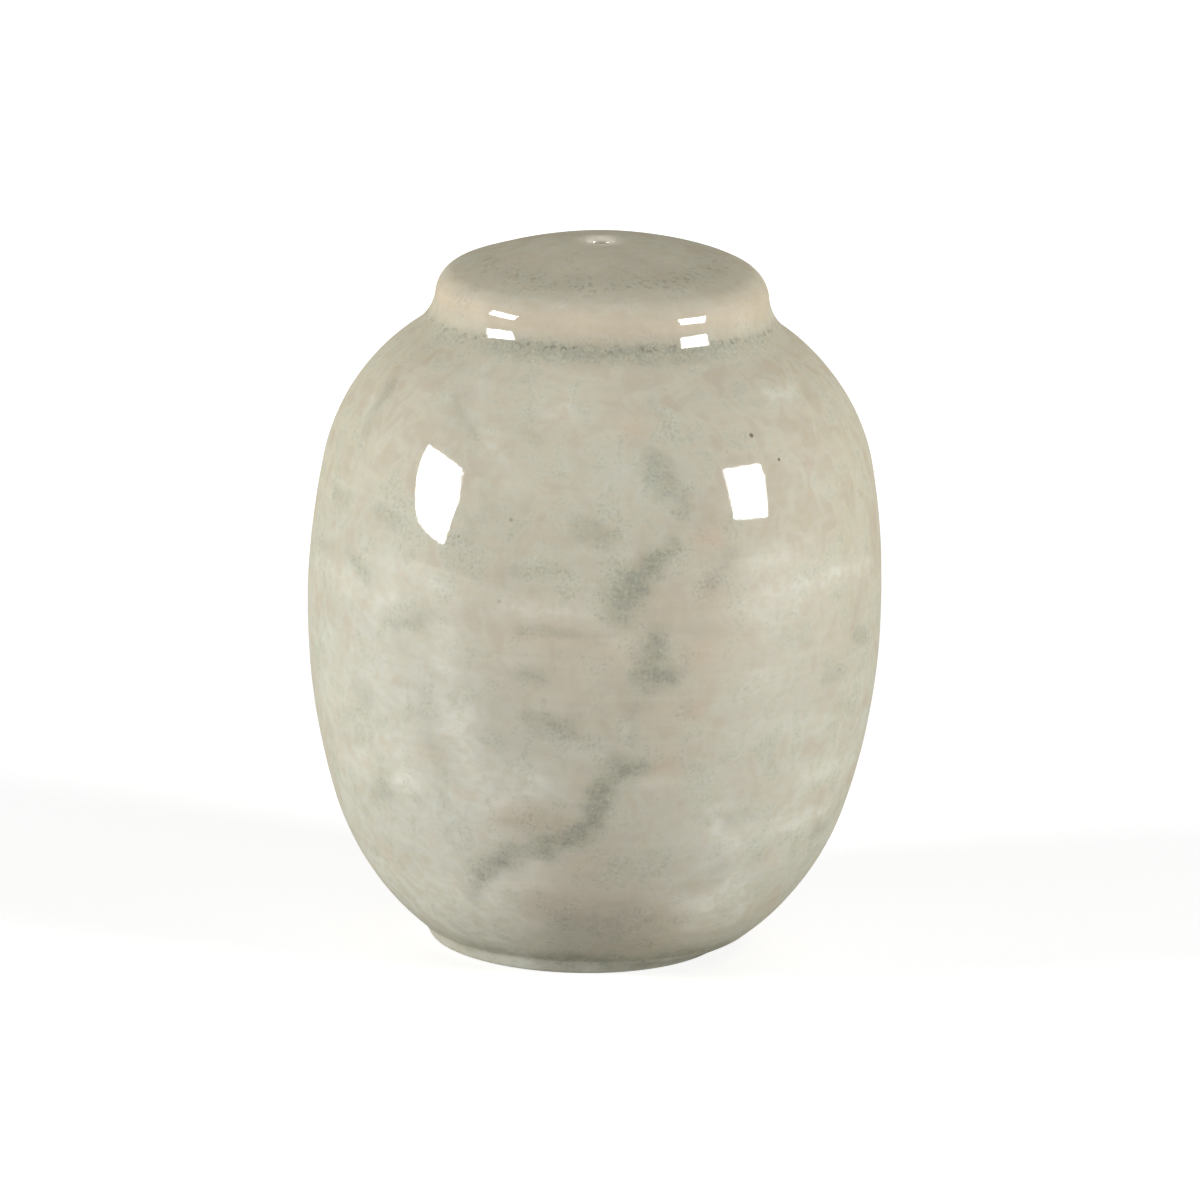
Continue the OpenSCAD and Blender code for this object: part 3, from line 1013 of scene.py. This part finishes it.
def mottle_group():
    """The shared group, built once: a noise for each row of MOTTLE.

    Each is taken at the Object coordinates times Scale and the row's waves.
    """
    group = bpy.data.node_groups.get("mottle")
    if group is None:
        group = bpy.data.node_groups.new("mottle", "ShaderNodeTree")
        group.interface.new_socket("Scale", in_out="INPUT", socket_type="NodeSocketFloat")
        for name in MOTTLE:
            group.interface.new_socket(name, in_out="OUTPUT", socket_type="NodeSocketFloat")
        scale = node(group, "NodeGroupInput").outputs["Scale"]
        result = node(group, "NodeGroupOutput")
        place = node(group, "ShaderNodeTexCoord").outputs["Object"]
        place = vector(group, "SCALE", {0: place, "Scale": scale})
        for name, (across, up, detail, distortion) in MOTTLE.items():
            drawn = vector(group, "MULTIPLY", {0: place, 1: (across / MM, across / MM, up / MM)})
            noise = node(group, "ShaderNodeTexNoise", {
                "Vector": drawn, "Scale": 1.0, "Detail": detail,
                "Roughness": NOISE_ROUGHNESS, "Distortion": distortion,
            })
            group.links.new(noise.outputs["Fac"], result.inputs[name])
    return group


def mottle(tree, scale):
    """The noises of the shared group, by name."""
    return node(tree, "ShaderNodeGroup", {"Scale": scale}, node_tree=mottle_group()).outputs


def glaze_tone(tree, noises, colours):
    """The glaze's colour: layers over a beige ground, by masks and noises, then dots and glints."""
    def drawn(effect):
        """The share of one effect of a noise."""
        kind, *ranges = EFFECTS[effect]
        return spread(tree, noises[kind], *ranges)

    def around_one(kind, depth):
        """A noise drawn out to 1, less or more its depth."""
        return spread(tree, noises[kind], *MIDDLE_NOISE, 1 - depth, 1 + depth)

    def ragged(name):
        """A mask that a noise frays."""
        return calc(tree, "MULTIPLY", mask(tree, name), around_one(*FRAY[name]))

    def shaded(tone, kind):
        """A tone that a noise makes a little lighter or darker."""
        return vector(tree, "SCALE", {0: tone, "Scale": around_one(kind, SHADING[kind])})

    vein, pool, moss = ragged("vein"), ragged("pool"), drawn("moss")
    layers = [
        (ragged("celadon"), colours.celadon),
        (moss, colours.moss),
        (drawn("rust"), colours.blush),
        (ragged("veil"), colours.veil),
        (ragged("blush"), colours.blush),
        (vein, colours.vein),
        (mask(tree, "dome"), colours.dome),
        # Pooled glaze, and painted shade where the pool mask holds it
        (pool, colours.pool),
        (ragged("cream"), colours.cream),
    ]
    tone = shaded(blend(tree, drawn("grey"), rgba(colours.beige), rgba(colours.grey)), "Patch")
    for factor, tint in layers:
        tone = blend(tree, factor, tone, rgba(tint))
    coolness = spread(tree, noises["Fine"], *MIDDLE_NOISE)
    leaning = blend(tree, coolness, rgba(WARM_TINT), rgba(COOL_TINT))
    tone = vector(tree, "MULTIPLY", {0: tone, 1: leaning})
    tone = shaded(shaded(tone, "Streak"), "Cloud")

    gathered_and_shade = calc(tree, "ADD", calc(tree, "ADD", vein, pool), moss)
    dot_share = spread(tree, gathered_and_shade, 0.0, 1.0, *DOT_SHARES)
    glint_share = spread(tree, gathered_and_shade, 0.0, 1.0, *GLINT_SHARES)
    dots = calc(tree, "MULTIPLY", drawn("dots"), dot_share)
    beads = calc(tree, "MULTIPLY", drawn("beads"), mask(tree, "beads"))
    glints = calc(tree, "MULTIPLY", drawn("glints"), glint_share)
    for factor, tint in ((dots, colours.bead), (beads, colours.bead), (glints, colours.veil)):
        tone = blend(tree, factor, tone, rgba(tint))
    return tone


def specked(tree, tone, specks, tint):
    """A tone with specks, each of which fades with the distance from its middle."""
    place = node(tree, "ShaderNodeTexCoord").outputs["Object"]
    for point, half, strength in specks:
        away = vector(tree, "DISTANCE", {0: place, 1: point}, "Value")
        speck = spread(tree, away, SPECK_CORE * half, half, strength, 0.0)
        tone = blend(tree, speck, tone, rgba(tint))
    return tone


def glaze_material(colours, specks):
    """The reactive glaze and the bare clay, with specks, pits and a gloss that fades edge on."""
    material, tree, output = new_material("reactive_glaze")
    noises = mottle(tree, 1.0)
    clay = mask(tree, "clay")
    tone = specked(tree, glaze_tone(tree, noises, colours), specks, colours.speck)
    tone = blend(tree, clay, tone, rgba(colours.clay))
    facing = node(tree, "ShaderNodeLayerWeight", {"Blend": 0.5}).outputs["Facing"]
    clay_share = spread(tree, clay, 0.0, 1.0, 1.0, CLAY_GLOSS)
    gloss = calc(tree, "MULTIPLY", spread(tree, facing, *GLOSS_FADE), clay_share)
    rough = spread(tree, clay, 0.0, 1.0, GLAZE_ROUGH, CLAY_ROUGH)
    bump = node(tree, "ShaderNodeBump", {
        "Height": noises["Grain"], "Strength": 1.0, "Distance": PIT_DEPTH,
    })
    shader = node(tree, "ShaderNodeBsdfPrincipled", {
        "Base Color": tone, "Roughness": rough, "IOR": 1.5, "Specular IOR Level": gloss,
        "Normal": bump.outputs[0],
    })
    tree.links.new(shader.outputs[0], output.inputs["Surface"])
    return material


def silicone_material(colours):
    """Off-white silicone, satin and faintly clouded."""
    material, tree, output = new_material("silicone")
    noises = mottle(tree, 1.0)
    darker = [SILICONE_SHADE * value for value in colours.silicone]
    clouding = spread(tree, noises["Cloud"], *MIDDLE_NOISE, 0.0, SILICONE_CLOUDING)
    shader = node(tree, "ShaderNodeBsdfPrincipled", {
        "Base Color": blend(tree, clouding, rgba(colours.silicone), rgba(darker)),
        "Roughness": spread(tree, noises["Fine"], *MIDDLE_NOISE, *SILICONE_ROUGH), "IOR": 1.41,
        "Subsurface Weight": 0.15, "Subsurface Scale": 1 * MM,
    })
    tree.links.new(shader.outputs[0], output.inputs["Surface"])
    return material


def seen_ray(tree):
    """1 for camera, glossy and transmission rays, 0 for those that only bring light."""
    rays = node(tree, "ShaderNodeLightPath").outputs
    mirrored = calc(tree, "MAXIMUM", rays["Is Camera Ray"], rays["Is Glossy Ray"])
    return calc(tree, "MAXIMUM", mirrored, rays["Is Transmission Ray"])


def floor_material(stage):
    """White to the eye with the shaker's shadow on it, and greyer for the light it throws back."""
    material, tree, output = new_material("floor")
    place = node(tree, "ShaderNodeTexCoord").outputs["Object"]
    away = vector(tree, "LENGTH", {0: place}, "Value")
    grey = node(tree, "ShaderNodeBsdfDiffuse", {"Color": rgba([FLOOR_GREY] * 3)})
    glow = node(tree, "ShaderNodeEmission", {
        "Color": WHITE, "Strength": spread(tree, away, *GLOW_RISE, stage.floor_glow, 1.0),
    })
    shown = node(tree, "ShaderNodeAddShader", {0: grey.outputs[0], 1: glow.outputs[0]})
    bounce = node(tree, "ShaderNodeBsdfDiffuse", {"Color": rgba([stage.floor_bounce] * 3)})
    both = node(tree, "ShaderNodeMixShader", {
        0: seen_ray(tree), 1: bounce.outputs[0], 2: shown.outputs[0],
    })
    tree.links.new(both.outputs[0], output.inputs["Surface"])
    return material


# The studio

def aim_camera(scene, stage, middle):
    """Sets the camera off from the shaker's middle, looking down by the elevation and rolled."""
    tilt, roll = stage.elevation, stage.roll
    ahead = Vector((0, math.cos(tilt), -math.sin(tilt)))
    level_up = Vector((0, math.sin(tilt), math.cos(tilt)))
    level_right = Vector((1, 0, 0))
    right = level_right * math.cos(roll) + level_up * math.sin(roll)
    up = level_up * math.cos(roll) - level_right * math.sin(roll)
    place = middle + right * stage.aim_right - up * stage.aim_down - ahead * stage.distance
    camera = bpy.data.objects.new("camera", bpy.data.cameras.new("camera"))
    camera.data.sensor_width = SENSOR_MM
    camera.data.lens = stage.focal_mm
    axes = Matrix((right, up, -ahead)).transposed().to_4x4()
    camera.matrix_world = Matrix.Translation(place) @ axes
    scene.collection.objects.link(camera)
    scene.camera = camera


def hang_lamps(scene, stage, middle):
    """Hangs each softbox at its turn and elevation, facing the shaker's middle."""
    for name, (side, rise, wide, tall, lean, share, mirrored) in SOFTBOXES.items():
        lamp = bpy.data.objects.new(name, bpy.data.lights.new(name, "AREA"))
        lamp.data.shape = "RECTANGLE"
        lamp.data.size = 2 * stage.lamp_distance * math.tan(math.radians(wide / 2))
        lamp.data.size_y = 2 * stage.lamp_distance * math.tan(math.radians(tall / 2))
        lamp.data.energy = stage.lamp_power * share
        lamp.visible_glossy = mirrored
        az, el = math.radians(side), math.radians(rise)
        out = Vector((math.sin(az) * math.cos(el), -math.cos(az) * math.cos(el), math.sin(el)))
        facing = (-out).to_track_quat("-Z", "Y").to_matrix().to_4x4()
        leaning = Matrix.Rotation(math.radians(lean), 4, "Z")
        place = Matrix.Translation(middle + out * stage.lamp_distance)
        lamp.matrix_world = place @ facing @ leaning
        scene.collection.objects.link(lamp)


def lay_floor(stage):
    """A square floor under the foot."""
    corners = FLOOR_HALF * np.array([(-1, -1, 0), (1, -1, 0), (1, 1, 0), (-1, 1, 0)])
    corners[:, 2] = -FLOOR_DROP
    floor = mesh_object("floor", corners, [(0, 1, 2, 3)], floor_material(stage))


def light_world(scene, stage):
    """Even light from all around, which is white where it is seen."""
    world = bpy.data.worlds.new("studio")
    scene.world = world
    world.use_nodes = True
    tree = world.node_tree
    tree.nodes.clear()
    light = node(tree, "ShaderNodeBackground", {"Color": WHITE, "Strength": stage.ambient})
    white = node(tree, "ShaderNodeBackground", {"Color": WHITE, "Strength": 1.0})
    both = node(tree, "ShaderNodeMixShader", {
        0: seen_ray(tree), 1: light.outputs[0], 2: white.outputs[0],
    })
    node(tree, "ShaderNodeOutputWorld", {"Surface": both.outputs[0]})


# Operators

class SHAKER_OT_body(bpy.types.Operator):
    """Turns the body's section round the axis, with the slight unevenness of handwork"""

    bl_idname = "shaker.body"
    bl_label = "Stoneware Body"

    def execute(self, context):
        s = context.scene.shaker_body
        recess_h = STOPPER_LOW.z + context.scene.shaker_stopper.flange_t
        section, names = body_section(s, recess_h)
        turn = even_turns(BODY_COLUMNS)
        vertices = body_surface(s, section, names, turn)
        faces = grid_faces(len(section), BODY_COLUMNS, closed_rows=True)
        specks = speck_places(section, names, vertices)
        material = glaze_material(context.scene.shaker_colours, specks)
        body = mesh_object("glazed_body", vertices, faces, material)
        for name, values in glaze_masks(section, names, turn).items():
            add_mask(body, name, values)
        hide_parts("stoneware_body")
        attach(body, "shaker")
        return {"FINISHED"}


class SHAKER_OT_stopper(bpy.types.Operator):
    """Turns the stopper's section round the axis and draws its tab out of the flange's rim"""

    bl_idname = "shaker.stopper"
    bl_label = "Silicone Stopper"

    def execute(self, context):
        s = context.scene.shaker_stopper
        base_t = context.scene.shaker_body.base_t
        section, names = stopper_section(s, STOPPER_LOW.z, STOPPER_HIGH.z, base_t)
        rings = stopper_rings(s, section, names, even_turns(STOPPER_COLUMNS))
        points = rings.reshape(-1, 3)
        poles = [(0, 0, section[0, 1]), (0, 0, section[-1, 1])]
        vertices = np.concatenate([points, poles])
        last_ring = len(points) - STOPPER_COLUMNS
        faces = grid_faces(len(rings), STOPPER_COLUMNS, flip=True)
        faces += pole_faces(0, STOPPER_COLUMNS, len(points), flip=True)
        faces += pole_faces(last_ring, STOPPER_COLUMNS, len(points) + 1)
        material = silicone_material(context.scene.shaker_colours)
        stopper = mesh_object("ribbed_stopper", vertices, faces, material)
        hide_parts("silicone_stopper")
        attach(stopper, "stopper")
        return {"FINISHED"}


class SHAKER_OT_stage(bpy.types.Operator):
    """Sets the camera, the softboxes, the floor and the light from all around"""

    bl_idname = "shaker.stage"
    bl_label = "Studio"

    def execute(self, context):
        scene, stage = context.scene, context.scene.shaker_stage
        middle = Vector((0, 0, BODY_HIGH.z / 2))
        aim_camera(scene, stage, middle)
        hang_lamps(scene, stage, middle)
        lay_floor(stage)
        light_world(scene, stage)
        scene.view_settings.view_transform = "Standard"
        return {"FINISHED"}


class SHAKER_PT_panel(bpy.types.Panel):
    """Lists the shaker's pieces and its studio, with their sizes and colours"""

    bl_idname = "SHAKER_PT_panel"
    bl_label = "Pepper Shaker"
    bl_space_type = "VIEW_3D"
    bl_region_type = "UI"
    bl_category = "Shaker"

    def draw(self, context):
        for operator in OPERATORS:
            self.layout.operator(operator.bl_idname)
        for name, group in GROUPS.items():
            box = self.layout.box()
            box.label(text=group.__doc__)
            for setting in group.__annotations__:
                box.prop(getattr(context.scene, name), setting)


OPERATORS = (SHAKER_OT_stage, SHAKER_OT_body, SHAKER_OT_stopper)
GROUPS = {
    "shaker_body": ShakerBodySizes,
    "shaker_stopper": ShakerStopperSizes,
    "shaker_colours": ShakerColours,
    "shaker_stage": ShakerStage,
}
CLASSES = (*GROUPS.values(), *OPERATORS, SHAKER_PT_panel)


def register():
    """Registers the classes and gives the scene their settings."""
    for cls in CLASSES:
        bpy.utils.register_class(cls)
    for name, group in GROUPS.items():
        setattr(bpy.types.Scene, name, bpy.props.PointerProperty(type=group))


def unregister():
    """Takes back what register did."""
    for name in GROUPS:
        delattr(bpy.types.Scene, name)
    for cls in reversed(CLASSES):
        bpy.utils.unregister_class(cls)


def main():
    """Makes the studio and the two pieces."""
    register()
    bpy.ops.shaker.stage()
    bpy.ops.shaker.body()
    bpy.ops.shaker.stopper()


if __name__ == "__main__":
    main()
